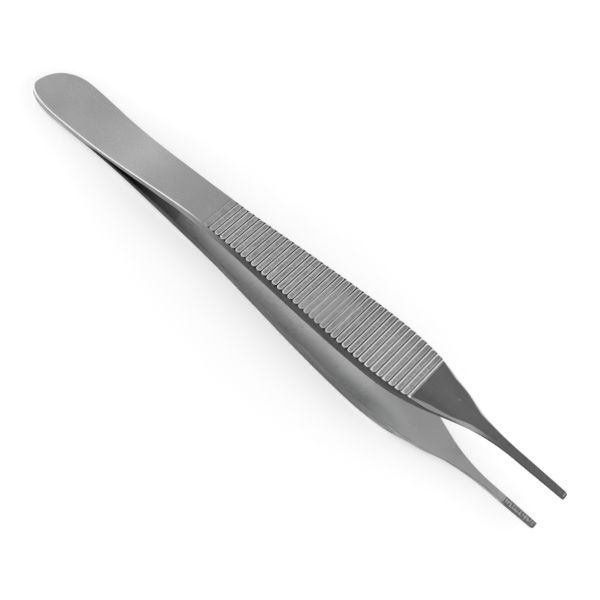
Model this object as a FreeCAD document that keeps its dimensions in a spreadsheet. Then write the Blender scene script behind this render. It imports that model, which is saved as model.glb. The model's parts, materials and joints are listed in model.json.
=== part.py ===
"""Thumb forceps with cross-ridged grips and slim serrated jaws, 120 mm long.

Two stamped and ground stainless steel arms lie face to face at the heel, where they are welded,
and spring apart towards the jaws. Each arm is drawn in its own frame: X runs from the heel end to
the jaw tips, Y runs across the arm, and Z = 0 is the plane where the two arms meet. The forceps
are then laid down on the ridges of the lower arm, which is how they come to rest on a table.
"""
import FreeCAD
import Part
import Sketcher
import math
import os
import sys

# Driving sizes in millimetres and degrees, with what each one measures.
SIZES = [
    ("overall_length", 120.0, "heel end to jaw tips"),
    ("heel_round_length", 8.2, "length of the rounded end of the heel"),
    ("heel_width", 10.1, "width across the heel"),
    ("heel_lean", 2.0, "how far the heel's end is ground off the middle, towards the near side"),
    ("neck_position", 44.1, "heel end to the narrowest place of the spring"),
    ("neck_width", 7.6, "width at the narrowest place of the spring"),
    ("grip_position", 82.1, "heel end to the widest place of the grip"),
    ("grip_width", 11.0, "width at the widest place of the grip"),
    ("jaw_length", 10.0, "straight slim end of the jaw"),
    ("jaw_width", 1.5, "width at the root of the jaw"),
    ("tip_width", 1.2, "width at the tip of the jaw"),
    ("weld_length", 16.0, "length over which the arms lie on each other"),
    ("heel_thickness", 0.9, "thickness of one arm at the heel"),
    ("spring_position", 43.6, "heel end to the place where the spring is measured"),
    ("spring_thickness", 1.9, "thickness there"),
    ("grip_thickness", 2.65, "thickness at the front of the grip, over the ridges"),
    ("grip_front", 85.6, "heel end to the place where the grip is measured"),
    ("jaw_opening", 13.8, "distance between the inner faces of the jaws"),
    ("jaw_start", 102.6, "heel end to the place where the inner face of the jaw runs straight"),
    ("tip_thickness", 0.78, "thickness at the tip of the jaw"),
    ("tip_slope", 1.2, "fall of the outer face towards the tip, in degrees"),
    ("grip_start", 41.6, "heel end to the start of the outer arc of the grip"),
    ("grip_start_rise", 4.08, "outer face above the meeting plane there"),
    ("grip_arc_length", 49.6, "length of the outer arc of the grip"),
    ("grip_arc_radius", 620.0, "radius of the outer arc of the grip"),
    ("grip_start_slope", 6.15, "slope of the outer face where the arc starts, in degrees"),
    ("groove_count", 38.0, "grooves across the grip"),
    ("groove_pitch", 1.26, "distance from groove to groove along the arc"),
    ("first_groove", 2.6, "start of the arc to the first groove"),
    ("groove_width", 0.56, "width of a groove at the crests"),
    ("groove_depth", 0.3, "depth of a groove under the crests"),
    ("edge_bevel", 0.42, "leg of the bevel ground along the outer edges"),
    ("tooth_count", 15.0, "serrations inside each jaw"),
    ("tooth_pitch", 0.52, "distance from serration to serration"),
    ("tooth_width", 0.48, "width of a serration at the jaw's face"),
    ("tooth_depth", 0.16, "depth of a serration"),
    ("first_tooth", 0.35, "jaw tip to the first serration"),
]
# Shape factors of the curves: how far each end of a curve runs straight, as a part of its length.
SHAPES = [
    ("heel_fullness", 0.62, "outline, how square the rounded end of the heel is"),
    ("heel_reach", 0.15, "outline, from the heel towards the neck"),
    ("neck_reach_back", 0.35, "outline, from the neck towards the heel"),
    ("neck_reach", 0.26, "outline, from the neck towards the grip"),
    ("grip_reach_back", 0.31, "outline, from the grip towards the neck"),
    ("grip_reach", 0.52, "outline, from the grip towards the jaw"),
    ("jaw_reach_back", 0.385, "outline, from the jaw towards the grip"),
    ("bend_reach", 0.33, "side view, the bend in front of the weld"),
    ("spring_reach", 0.36, "side view, the spring behind the grip"),
    ("shoulder_reach", 0.35, "side view, both ends of the inner shoulder"),
    ("front_reach", 0.3, "side view, the outer face from the grip to the tip, at the grip"),
    ("tip_reach", 0.36, "side view, the outer face from the grip to the tip, at the tip"),
]
MARGIN = 1.0   # how far the cutting outlines run past the metal


class Size:
    """A measure worked out from the sheet: its value, and the formula that binds it."""

    def __init__(self, value, formula=None):
        self.value = float(value)
        self.formula = formula if formula is not None else "(%s)" % repr(float(value))

    def __add__(self, other):
        other = as_size(other)
        return Size(self.value + other.value, "(%s + %s)" % (self.formula, other.formula))

    def __sub__(self, other):
        other = as_size(other)
        return Size(self.value - other.value, "(%s - %s)" % (self.formula, other.formula))

    def __mul__(self, other):
        other = as_size(other)
        return Size(self.value * other.value, "(%s * %s)" % (self.formula, other.formula))

    def __truediv__(self, other):
        other = as_size(other)
        return Size(self.value / other.value, "(%s / %s)" % (self.formula, other.formula))

    def __neg__(self):
        return Size(-self.value, "(-1 * %s)" % self.formula)


def as_size(number):
    return number if isinstance(number, Size) else Size(number)


def sine(angle):
    return Size(math.sin(math.radians(angle.value)), "sin(%s)" % angle.formula)


def cosine(angle):
    return Size(math.cos(math.radians(angle.value)), "cos(%s)" % angle.formula)


def tangent(angle):
    return Size(math.tan(math.radians(angle.value)), "tan(%s)" % angle.formula)


def turn(arc, radius):
    """The angle, in degrees, that an arc of this length turns through."""
    return arc / radius * math.degrees(1.0)


def make_sheet(doc):
    """Writes the sizes to the sheet and returns them by name."""
    sheet = doc.addObject("Spreadsheet::Sheet", "Sizes")
    sizes = {}
    for row, (name, value, note) in enumerate(SIZES + SHAPES, start=1):
        sheet.set("A%d" % row, name)
        sheet.set("B%d" % row, repr(value))
        sheet.set("C%d" % row, note)
        sheet.setAlias("B%d" % row, name)
    doc.recompute()
    for name, value, note in SIZES + SHAPES:
        sizes[name] = Size(getattr(sheet, name), "Sizes.%s" % name)
    return sizes


class Outline:
    """A closed outline in a sketch, drawn end to end, with every point bound to the sheet."""

    def __init__(self, sketch, start):
        self.sketch = sketch
        self.start = start
        self.here = start
        self.first = None
        self.last = None

    def bind(self, kind, *arguments, size):
        index = self.sketch.addConstraint(Sketcher.Constraint(kind, *arguments, size.value))
        self.sketch.setExpression("Constraints[%d]" % index, size.formula)

    def pin(self, piece, end, point):
        """Holds a point at its distances from the origin of the sketch."""
        for kind, size in (("DistanceX", point[0]), ("DistanceY", point[1])):
            if size.value >= 0.0:
                self.bind(kind, -1, 1, piece, end, size=size)
            else:
                self.bind(kind, piece, end, -1, 1, size=-size)

    def join(self, piece, begin, end):
        if self.last is None:
            self.first = (piece, begin)
            self.pin(piece, begin, self.start)
        else:
            self.sketch.addConstraint(Sketcher.Constraint("Coincident", *self.last, piece, begin))
        self.last = (piece, end)

    def line_to(self, point):
        line = self.sketch.addGeometry(Part.LineSegment(spot(self.here), spot(point)), False)
        self.join(line, 1, 2)
        self.pin(line, 2, point)
        self.here = point

    def curve_to(self, reach_out, reach_in, point=None):
        """A cubic curve that leaves towards the first handle and arrives from the second.

        Without a point it ends where the outline began.
        """
        goal = self.start if point is None else point
        poles = [spot(p) for p in (self.here, reach_out, reach_in, goal)]
        cubic = Part.BSplineCurve()
        cubic.buildFromPolesMultsKnots(poles, [4, 4], [0.0, 1.0], False, 3)
        curve = self.sketch.addGeometry(cubic, False)
        self.sketch.exposeInternalGeometry(curve)
        self.join(curve, 1, 2)
        self.pin(curve + 2, 3, reach_out)
        self.pin(curve + 3, 3, reach_in)
        if point is None:
            self.meet_start(curve, 2)
        else:
            self.pin(curve + 4, 3, point)
        self.here = goal

    def arc_to(self, middle, point, radius):
        """An arc of the given radius that passes near the middle point."""
        arc = Part.Arc(spot(self.here), spot(middle), spot(point))
        piece = self.sketch.addGeometry(arc, False)
        begins = self.sketch.getPoint(piece, 1).distanceToPoint(spot(self.here))
        ends = self.sketch.getPoint(piece, 2).distanceToPoint(spot(self.here))
        near, away = (1, 2) if begins < ends else (2, 1)
        self.join(piece, near, away)
        self.pin(piece, away, point)
        self.bind("Radius", piece, size=radius)
        self.here = point

    def close(self):
        line = self.sketch.addGeometry(Part.LineSegment(spot(self.here), spot(self.start)), False)
        self.join(line, 1, 2)
        self.meet_start(line, 2)

    def meet_start(self, piece, end):
        self.sketch.addConstraint(Sketcher.Constraint("Coincident", piece, end, *self.first))


def spot(point):
    return FreeCAD.Vector(point[0].value, point[1].value, 0.0)


def origin_part(body, role):
    return [part for part in body.Origin.OriginFeatures if part.Role == role][0]


def new_sketch(body, name, plane):
    sketch = body.newObject("Sketcher::SketchObject", name)
    sketch.AttachmentSupport = [(origin_part(body, plane), "")]
    sketch.MapMode = "FlatFace"
    return sketch


def cut_through(body, name, sketch):
    """Cuts a sketched shape right through the arm, to both sides of the sketch."""
    pocket = body.newObject("PartDesign::Pocket", name)
    pocket.Profile = sketch
    pocket.SideType = "Symmetric"
    pocket.Type = "ThroughAll"
    return pocket


def grip_point(sizes, travel):
    """A point of the grip's outer arc, at this distance along it, and the slope there."""
    radius = sizes["grip_arc_radius"]
    start = sizes["grip_start_slope"]
    slope = start - turn(as_size(travel), radius)
    ahead = sizes["grip_start"] + radius * (sine(start) - sine(slope))
    above = sizes["grip_start_rise"] + radius * (cosine(slope) - cosine(start))
    return ahead, above, slope


def draw_side_view(sketch, sizes, side):
    """The side view of one arm: inner face, tip, outer face, heel."""

    def at(ahead, above):
        return as_size(ahead), as_size(above) * side

    def handle(point, slope, reach):
        return at(point[0] + reach, point[1] + slope * reach)

    weld = sizes["weld_length"]
    heel = sizes["heel_thickness"]
    length = sizes["overall_length"]
    jaw = sizes["jaw_start"]
    jaw_inner = sizes["jaw_opening"] / 2.0
    spring = sizes["spring_position"]
    front = sizes["grip_front"]
    arc_end = grip_point(sizes, sizes["grip_arc_length"])
    arc_middle = grip_point(sizes, sizes["grip_arc_length"] / 2.0)
    start_slope = tangent(sizes["grip_start_slope"])
    # Outer face at the two places where the thickness is measured.
    spring_outer = sizes["grip_start_rise"] + start_slope * (spring - sizes["grip_start"])
    front_outer = arc_end[1] - tangent(arc_end[2]) * (arc_end[0] - front)
    inner_spring = (spring, spring_outer - sizes["spring_thickness"])
    inner_front = (front, front_outer - sizes["grip_thickness"])
    inner_slope = (inner_front[1] - inner_spring[1]) / (front - spring)
    bend = spring - weld
    ease = sizes["bend_reach"] * bend
    tuck = sizes["shoulder_reach"] * (jaw - front)
    outline = Outline(sketch, at(Size(-MARGIN), Size(0.0)))
    outline.line_to(at(weld, 0.0))
    outline.curve_to(at(weld + ease, 0.0), handle(inner_spring, inner_slope, -ease), at(*inner_spring))
    outline.line_to(at(*inner_front))
    outline.curve_to(handle(inner_front, inner_slope, tuck), at(jaw - tuck, jaw_inner), at(jaw, jaw_inner))
    outline.line_to(at(length, jaw_inner))
    # Square tip, then the outer face in one long curve back to the grip.
    tip = (length, jaw_inner + sizes["tip_thickness"])
    outline.line_to(at(*tip))
    nose = length - arc_end[0]
    outline.curve_to(handle(tip, -tangent(sizes["tip_slope"]), -(sizes["tip_reach"] * nose)),
                     handle(arc_end, tangent(arc_end[2]), sizes["front_reach"] * nose),
                     at(arc_end[0], arc_end[1]))
    arc_start = (sizes["grip_start"], sizes["grip_start_rise"])
    outline.arc_to(at(arc_middle[0], arc_middle[1]), at(*arc_start), sizes["grip_arc_radius"])
    rise = sizes["grip_start"] - weld
    outline.curve_to(handle(arc_start, start_slope, -(sizes["spring_reach"] * rise)),
                     at(weld + sizes["bend_reach"] * rise, heel), at(weld, heel))
    outline.line_to(at(Size(-MARGIN), heel))
    outline.close()


def long_edge(sizes, way):
    """The outline of one side in plan, heel end to jaw root: way is 1 for the far side, -1 for the near."""
    lean = sizes["heel_lean"]
    full = sizes["heel_fullness"]
    heel = sizes["heel_round_length"]
    heel_side = sizes["heel_width"] / 2.0 * way
    neck = sizes["neck_position"]
    neck_side = sizes["neck_width"] / 2.0 * way
    grip = sizes["grip_position"]
    grip_side = sizes["grip_width"] / 2.0 * way
    jaw = sizes["overall_length"] - sizes["jaw_length"]
    jaw_side = sizes["jaw_width"] / 2.0 * way
    waist = neck - heel
    swell = grip - neck
    back = sizes["jaw_reach_back"] * (jaw - grip)
    # Each station: handle of the curve that leaves the last one, handle of its arrival, the station.
    return [
        (None, None, (Size(0.0), -lean)),
        ((Size(0.0), (heel_side + lean) * full - lean), (heel - heel * full, heel_side), (heel, heel_side)),
        ((heel + sizes["heel_reach"] * waist, heel_side),
         (neck - sizes["neck_reach_back"] * waist, neck_side), (neck, neck_side)),
        ((neck + sizes["neck_reach"] * swell, neck_side),
         (grip - sizes["grip_reach_back"] * swell, grip_side), (grip, grip_side)),
        ((grip + sizes["grip_reach"] * (jaw - grip), grip_side),
         (jaw - back, jaw_side - jaw_taper(sizes) * back * way), (jaw, jaw_side)),
    ]


def jaw_taper(sizes):
    """How much the half width of the jaw grows with each millimetre towards the tip."""
    return (sizes["tip_width"] - sizes["jaw_width"]) / 2.0 / sizes["jaw_length"]


def draw_plan(sketch, sizes):
    """What is cut away around the arm as seen from above: a blank with the arm's outline left out."""
    length = sizes["overall_length"]
    half_blank = sizes["grip_width"] + sizes["heel_width"]
    blank_end = Size(4.0 * MARGIN)
    blank = Outline(sketch, (-blank_end, -half_blank))
    blank.line_to((length + blank_end, -half_blank))
    blank.line_to((length + blank_end, half_blank))
    blank.line_to((-blank_end, half_blank))
    blank.close()
    # Out along the far side, across in front of the tip, and back along the near side.
    far = long_edge(sizes, 1.0)
    near = long_edge(sizes, -1.0)
    past = sizes["tip_width"] / 2.0 + jaw_taper(sizes) * MARGIN
    edge = Outline(sketch, far[0][2])
    for leave, arrive, station in far[1:]:
        edge.curve_to(leave, arrive, station)
    edge.line_to((length + MARGIN, past))
    edge.line_to((length + MARGIN, -past))
    edge.line_to(near[-1][2])
    for number in range(len(near) - 1, 0, -1):
        leave, arrive, station = near[number]
        edge.curve_to(arrive, leave, near[number - 1][2] if number > 1 else None)


def outer_edges(shape, side):
    """Names of the edges between the outer face and the sides of an arm."""
    names = []
    for number, edge in enumerate(shape.Edges, start=1):
        facing = []
        for face in shape.ancestorsOfType(edge, Part.Face):
            u_min, u_max, v_min, v_max = face.ParameterRange
            facing.append(face.normalAt((u_min + u_max) / 2.0, (v_min + v_max) / 2.0).z * side)
        if len(facing) == 2 and max(facing) > 0.5 and abs(min(facing)) < 0.3:
            names.append("Edge%d" % number)
    return names


def make_arm(doc, sizes, name, side):
    """One arm: side is 1 for the upper arm and -1 for the lower one, its mirror image."""
    body = doc.addObject("PartDesign::Body", name)
    body.Label = name
    side_view = new_sketch(body, name + "_side_view", "XZ_Plane")
    draw_side_view(side_view, sizes, side)
    blank = body.newObject("PartDesign::Pad", name + "_blank")
    blank.Profile = side_view
    blank.SideType = "Symmetric"
    blank.setExpression("Length", (sizes["grip_width"] + sizes["heel_width"]).formula)

    plan = new_sketch(body, name + "_plan", "XY_Plane")
    draw_plan(plan, sizes)
    trim = cut_through(body, name + "_trim", plan)
    doc.recompute()

    # Bevelled outer edges, all the way round the heel, the grip and the jaw.
    bevel = body.newObject("PartDesign::Chamfer", name + "_bevelled_edges")
    bevel.Base = (trim, outer_edges(trim.Shape, side))
    bevel.setExpression("Size", sizes["edge_bevel"].formula)
    doc.recompute()

    # Cross grooves, stepped round the centre of the grip's outer arc.
    radius = sizes["grip_arc_radius"]
    start_slope = sizes["grip_start_slope"]
    groove = new_sketch(body, name + "_groove", "XZ_Plane")
    lean = start_slope - turn(sizes["first_groove"], radius)
    groove.AttachmentOffset = FreeCAD.Placement(
        FreeCAD.Vector(0.0, 0.0, 0.0), FreeCAD.Rotation(FreeCAD.Vector(0.0, 0.0, 1.0), 1.0))
    centre_ahead = sizes["grip_start"] + radius * sine(start_slope)
    centre_above = (sizes["grip_start_rise"] - radius * cosine(start_slope)) * side
    groove.setExpression("AttachmentOffset.Base.x", centre_ahead.formula)
    groove.setExpression("AttachmentOffset.Base.y", centre_above.formula)
    groove.setExpression("AttachmentOffset.Rotation.Angle", (lean * side).formula)
    half = sizes["groove_width"] / 2.0
    depth = sizes["groove_depth"]
    mouth = half * (depth + MARGIN) / depth
    notch = Outline(groove, (Size(0.0), (radius - depth) * side))
    notch.line_to((mouth, (radius + MARGIN) * side))
    notch.line_to((-mouth, (radius + MARGIN) * side))
    notch.close()
    first_cut = cut_through(body, name + "_first_groove", groove)
    doc.recompute()
    ridges = body.newObject("PartDesign::PolarPattern", name + "_ridges")
    ridges.Originals = [first_cut]
    ridges.Axis = (groove, ["N_Axis"])
    ridges.Reversed = side > 0
    ridges.setExpression("Occurrences", sizes["groove_count"].formula)
    stretch = sizes["groove_pitch"] * (sizes["groove_count"] - 1.0)
    ridges.setExpression("Angle", turn(stretch, radius).formula)
    body.Tip = ridges
    doc.recompute()

    # Fine serrations across the inside of the jaw, from the tip backwards.
    inner = sizes["jaw_opening"] / 2.0
    tooth = new_sketch(body, name + "_tooth", "XZ_Plane")
    place = sizes["overall_length"] - sizes["first_tooth"]
    deep = sizes["tooth_depth"]
    half = sizes["tooth_width"] / 2.0
    mouth = half * (deep + MARGIN) / deep
    notch = Outline(tooth, (place, (inner + deep) * side))
    notch.line_to((place + mouth, (inner - MARGIN) * side))
    notch.line_to((place - mouth, (inner - MARGIN) * side))
    notch.close()
    first_tooth = cut_through(body, name + "_first_tooth", tooth)
    doc.recompute()
    teeth = body.newObject("PartDesign::LinearPattern", name + "_teeth")
    teeth.Originals = [first_tooth]
    teeth.Direction = (origin_part(body, "X_Axis"), [""])
    teeth.Reversed = True
    teeth.setExpression("Occurrences", sizes["tooth_count"].formula)
    teeth.setExpression("Length", (sizes["tooth_pitch"] * (sizes["tooth_count"] - 1.0)).formula)
    body.Tip = teeth
    doc.recompute()
    return body


def lay_down(bodies, sizes):
    """Tilts both arms about the ridges under their centre of mass and sets them on Z = 0."""
    whole = Part.makeCompound([body.Shape for body in bodies])
    solids = whole.Solids
    weight = sum(solid.Volume for solid in solids)
    balance = sum(solid.CenterOfMass.x * solid.Volume for solid in solids) / weight
    radius = sizes["grip_arc_radius"].value
    start = math.radians(sizes["grip_start_slope"].value)
    slope = math.asin(math.sin(start) - (balance - sizes["grip_start"].value) / radius)
    tilt = FreeCAD.Rotation(FreeCAD.Vector(0.0, 1.0, 0.0), -math.degrees(slope))
    whole.Placement = FreeCAD.Placement(FreeCAD.Vector(0.0, 0.0, 0.0), tilt)
    box = whole.optimalBoundingBox(False, False)
    centre = FreeCAD.Vector(-(box.XMin + box.XMax) / 2.0, -(box.YMin + box.YMax) / 2.0, -box.ZMin)
    for body in bodies:
        body.Placement = FreeCAD.Placement(centre, tilt)
    print("balance %.2f mm from the heel, tilt %.3f degrees, set down at %s"
          % (balance, math.degrees(slope), centre))


def check(doc, bodies):
    for item in doc.Objects:
        if "Invalid" in item.State or "Error" in item.State:
            sys.exit("failed: %s %s" % (item.Name, item.State))
    for body in bodies:
        if body.Shape.isNull() or not body.Shape.isValid() or len(body.Shape.Solids) != 1:
            sys.exit("bad shape: %s" % body.Label)


def main():
    doc = FreeCAD.newDocument("thumb_forceps")
    sizes = make_sheet(doc)
    upper = make_arm(doc, sizes, "upper_arm", 1.0)
    lower = make_arm(doc, sizes, "lower_arm", -1.0)
    bodies = [upper, lower]
    lay_down(bodies, sizes)
    doc.recompute()
    check(doc, bodies)
    os.makedirs("parts", exist_ok=True)
    for body in bodies:
        body.Shape.exportStep("parts/%s.step" % body.Label)
        print(body.Label, "volume %.2f mm3" % body.Shape.Volume, len(body.Shape.Faces), "faces")


main()
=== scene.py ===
"""Thumb forceps: the detailed look of the two welded steel arms, with floor, light and camera.

Each arm is drawn in its own frame: X runs from the heel end to the jaw tips, Y runs across the
arm, and Z = 0 is the plane where the two arms meet. Its mesh is then moved to where the CAD
frame has that arm.
"""
import json
import math
import bmesh
import bpy
import numpy as np
from mathutils import Color, Matrix, Vector


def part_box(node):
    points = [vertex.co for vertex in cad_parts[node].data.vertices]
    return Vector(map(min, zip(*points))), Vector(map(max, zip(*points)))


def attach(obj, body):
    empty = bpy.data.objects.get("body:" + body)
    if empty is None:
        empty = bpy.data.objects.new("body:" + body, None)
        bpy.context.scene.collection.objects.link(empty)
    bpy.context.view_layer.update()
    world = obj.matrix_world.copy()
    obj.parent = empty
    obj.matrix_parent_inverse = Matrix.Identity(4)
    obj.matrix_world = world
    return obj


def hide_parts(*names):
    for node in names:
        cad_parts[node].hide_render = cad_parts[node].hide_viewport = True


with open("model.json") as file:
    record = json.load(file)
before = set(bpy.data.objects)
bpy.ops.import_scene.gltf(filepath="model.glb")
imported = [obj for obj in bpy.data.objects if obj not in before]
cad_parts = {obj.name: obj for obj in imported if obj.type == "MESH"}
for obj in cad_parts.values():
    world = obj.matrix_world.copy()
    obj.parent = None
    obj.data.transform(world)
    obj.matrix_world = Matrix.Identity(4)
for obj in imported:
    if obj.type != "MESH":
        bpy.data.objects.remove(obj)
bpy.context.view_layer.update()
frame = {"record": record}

bl_info = {
    "name": "Thumb Forceps",
    "version": (1, 0, 0),
    "blender": (4, 5, 0),
    "location": "3D View > Sidebar > Forceps",
    "description": "Builds thumb forceps with cross-ridged grips and serrated jaws",
    "category": "Add Mesh",
}

MM = 0.001


def length(name, millimetres, description):
    """A size of the forceps, shown in the scene's units."""
    return bpy.props.FloatProperty(name=name, description=description, default=millimetres * MM,
                                   unit="LENGTH", precision=5)


def count(name, default, description):
    """A whole number from one up."""
    return bpy.props.IntProperty(name=name, description=description, default=default, min=1)


def share(name, default, description):
    """A factor from nothing to all."""
    return bpy.props.FloatProperty(name=name, description=description, default=default,
                                   min=0.0, max=1.0, subtype="FACTOR")


def degrees(name, default, description):
    """An angle, written here in degrees."""
    return bpy.props.FloatProperty(name=name, description=description,
                                   default=math.radians(default), subtype="ANGLE")


def colour(name, default, description):
    """A linear colour."""
    return bpy.props.FloatVectorProperty(name=name, description=description, default=default,
                                         size=3, min=0.0, max=1.0, subtype="COLOR")


class ForcepsPlan(bpy.types.PropertyGroup):
    """The outline of an arm as seen from above."""
    overall_length: length("Overall length", 120.0, "Heel end to jaw tips")
    heel_round: length("Heel round", 8.2, "Length of the rounded end of the heel")
    heel_width: length("Heel width", 10.1, "Width across the heel")
    heel_lean: length("Heel lean", 2.0, "How far the heel's end is ground off the middle")
    neck_position: length("Neck position", 44.1, "Heel end to the narrowest place of the spring")
    neck_width: length("Neck width", 7.6, "Width at the narrowest place of the spring")
    grip_position: length("Grip position", 82.1, "Heel end to the widest place of the grip")
    grip_width: length("Grip width", 11.0, "Width at the widest place of the grip")
    jaw_length: length("Jaw length", 10.0, "Straight slim end of the jaw")
    jaw_width: length("Jaw width", 1.5, "Width at the root of the jaw")
    tip_width: length("Tip width", 1.2, "Width at the tip of the jaw")
    heel_fullness: share("Heel fullness", 0.62, "How square the rounded end of the heel is")


class ForcepsProfile(bpy.types.PropertyGroup):
    """The side view of an arm."""
    weld_length: length("Weld length", 16.0, "Length over which the arms lie on each other")
    heel_thickness: length("Heel thickness", 0.9, "Thickness of one arm at the heel")
    spring_position: length("Spring position", 43.6, "Heel end to where the spring is measured")
    spring_thickness: length("Spring thickness", 1.9, "Thickness there")
    grip_thickness: length("Grip thickness", 2.65, "Thickness at the front of the grip")
    grip_front: length("Grip front", 85.6, "Heel end to where the grip is measured")
    jaw_opening: length("Jaw opening", 13.8, "Distance between the inner faces of the jaws")
    jaw_start: length("Jaw start", 102.6, "Heel end to where the inner face runs straight")
    tip_thickness: length("Tip thickness", 0.78, "Thickness at the tip of the jaw")
    tip_slope: degrees("Tip slope", 1.2, "Fall of the outer face towards the tip")
    grip_start: length("Grip start", 41.6, "Heel end to the start of the grip's outer arc")
    grip_start_rise: length("Grip start rise", 4.08, "Outer face above the meeting plane there")
    grip_start_slope: degrees("Grip start slope", 6.15, "Slope of the outer face there")
    arc_length: length("Arc length", 49.6, "Length of the outer arc of the grip")
    arc_radius: length("Arc radius", 620.0, "Radius of the outer arc of the grip")
    inner_edge_round: length("Inner edge round", 0.1, "Rounding of the inner edges")


class ForcepsRidges(bpy.types.PropertyGroup):
    """The cross ridges of the grips and the serrations of the jaws."""
    groove_count: count("Groove count", 38, "Grooves across a grip")
    groove_pitch: length("Groove pitch", 1.26, "Distance from groove to groove")
    first_groove: length("First groove", 2.6, "Start of the grip's arc to the first groove")
    slot_width: length("Slot width", 0.29, "Width of a groove where it runs steep")
    groove_depth: length("Groove depth", 0.3, "Depth of a groove under the crests")
    rim_width: length("Rim width", 0.2, "Width of the eased rim round each crest")
    rim_fall: length("Rim fall", 0.065, "Fall of the rim from the crest to the slot")
    tooth_count: count("Tooth count", 15, "Serrations in each jaw")
    tooth_pitch: length("Tooth pitch", 0.52, "Distance from serration to serration")
    tooth_width: length("Tooth width", 0.48, "Width of a serration")
    tooth_depth: length("Tooth depth", 0.16, "Depth of a serration")
    first_tooth: length("First tooth", 0.35, "Jaw tip to the first serration")


class ForcepsFinish(bpy.types.PropertyGroup):
    """Colours of the steel, among them painted highlights, reflection and shade."""
    satin: colour("Satin steel", (0.63, 0.63, 0.632), "Bead-blasted outer faces")
    # Darker satin: for the clouds on the outer faces, toward the grip, at the heel end and at the
    # grip's start.
    satin_dark: colour("Dull satin steel", (0.42, 0.42, 0.425), "Handled places on outer faces")
    # White: painted highlights on the rounded edges by the heel, on the rims and on the crests at
    # the front of the grip, and a painted sheen on the inner faces near the jaws; also the speck
    # on the shoulder.
    edge: colour("Edge steel", (1.0, 1.0, 1.0), "Polished edges and rims")
    ridge: colour("Ridge steel", (0.68, 0.68, 0.685), "Crests of the ridges")
    ridge_dull: colour("Dull ridge steel", (0.27, 0.27, 0.275), "Dark mottling on the crests")
    # Very dark: painted shade in the bottoms of the grooves, on the lower arm's side between the
    # springs and in the jaw's notches; also the fine lines along the sides.
    slot: colour("Slot steel", (0.02, 0.02, 0.02), "Bottoms of the grooves")
    # The sides are one ground steel; these three colours are painted reflection: pale at the heel,
    # very dark on the upper arm in front, mid grey on the lower arm in front. The upper side's
    # colour also paints the shade on the jaw's edges and sides and in the front slots, and marks
    # and mottling at the jaw.
    side: colour("Side steel", (0.3, 0.3, 0.3), "Ground sides at the heel")
    upper_side: colour("Upper side", (0.07, 0.07, 0.073), "Side of the upper arm in front")
    lower_side: colour("Lower side", (0.2, 0.2, 0.2), "Side of the lower arm in front")
    inner: colour("Inner steel", (0.78, 0.78, 0.78), "Inner faces of the arms")
    # Darker inner steel: for the clouds, for the painted shade on the inner faces, and for the
    # painted reflection on the lower arm's side near the shoulder.
    inner_clouds_and_shade: colour("Dull inner steel", (0.44, 0.445, 0.45), "Clouds on the inner faces")
    # Painted shade on the inner faces between the springs, where the arms lie close; it also
    # paints the lower arm's side there.
    inner_shade: colour("Dark inner steel", (0.1, 0.1, 0.1), "Inner faces between the springs")
    # The shoulder and jaw are painted darker than the heel's satin, a painted shade; the second
    # colour gives clouds and the painted shade toward the near side.
    jaw: colour("Jaw steel", (0.44, 0.44, 0.445), "Outer faces of shoulder and jaw")
    jaw_clouds_and_shade: colour("Dull jaw steel", (0.3, 0.3, 0.305), "Near part of the shoulder")


class ForcepsStage(bpy.types.PropertyGroup):
    """Floor, light and camera."""
    floor_colour: colour("Floor", (0.92, 0.92, 0.92), "Floor under the forceps")
    floor_size: bpy.props.FloatProperty(name="Floor size", description="Side of the floor",
                                        default=6.0, unit="LENGTH")
    floor_lift: share("Floor lift", 0.34, "What the paper lacks to white under this light")
    key_power: bpy.props.FloatProperty(name="Key power", description="Soft lamp on the far side",
                                       default=0.4, subtype="POWER")
    camera_place: bpy.props.FloatVectorProperty(
        name="Camera", description="Where the camera stands", size=3, subtype="TRANSLATION",
        default=(0.034813, -0.094149, 0.182100), precision=6)
    camera_turn: degrees("Turn", 17.816, "Direction of view, round from +Y towards -X")
    camera_drop: degrees("Drop", 60.772, "How steeply the camera looks down")
    camera_roll: degrees("Roll", 27.239, "How far the camera is rolled")
    camera_lens: bpy.props.FloatProperty(name="Lens", description="Focal length in millimetres",
                                         default=69.40)


FAR, NEAR = 1.0, -1.0

# How far the two handles of each curve reach, as shares of its length along the arm.
SPRING_HANDLES = (0.33, 0.36)
NOSE_HANDLES = (0.3, 0.36)
BEND_HANDLES = (0.33, 0.33)
SHOULDER_HANDLES = (0.35, 0.35)
WAIST_HANDLES = (0.15, 0.35)
SWELL_HANDLES = (0.26, 0.31)
TAPER_HANDLES = (0.52, 0.385)

# How many points lie along the curves, and how many cross sections stand in each stretch.
CURVE_STEPS = 600
ARC_STEPS = 300
HEEL_STATIONS = 26
SPRING_STATIONS = 60
GROOVE_STATIONS = 18
SHOULDER_STATIONS = 70
TOOTH_STATIONS = 8

# How the points stand round a section: shares of the width near each side, and counts.
SIDE_SHARES = [0.0, 0.006, 0.013, 0.021, 0.03, 0.04, 0.052, 0.07, 0.095]
FACE_SHARES = np.linspace(0.14, 0.86, 13).tolist()
ROUND_STEPS = 7
WALL_STEPS = 3
INNER_ROUND_STEPS = 3

# The tip's bevelled end, in mm: back from the tip, fall of the outer face, draw-in of the sides.
# The most of its thickness that the edges' rounding takes, and how much of it is plain ground.
TIP_FALL = np.array([(0.46, 0.0, 0.0), (0.38, 0.03, 0.0), (0.3, 0.1, 0.01), (0.2, 0.2, 0.02),
                     (0.1, 0.32, 0.04), (0.03, 0.44, 0.07), (0.0, 0.52, 0.12)])
TIP_EDGE_SHARE = 0.45
TIP_GROUND = 0.3

# Rounding of the outer edges along the arm, both in mm: plump at the heel end and the shoulder.
EDGE_ROUND = np.array([(0.0, 0.46), (2.0, 0.3), (5.0, 0.19), (40.0, 0.19), (44.0, 0.13),
                       (90.8, 0.13), (91.8, 0.3), (94.5, 0.6), (97.4, 0.34), (98.2, 0.32),
                       (101.5, 0.62), (104.5, 0.3), (108.0, 0.16), (120.0, 0.14)])
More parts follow.
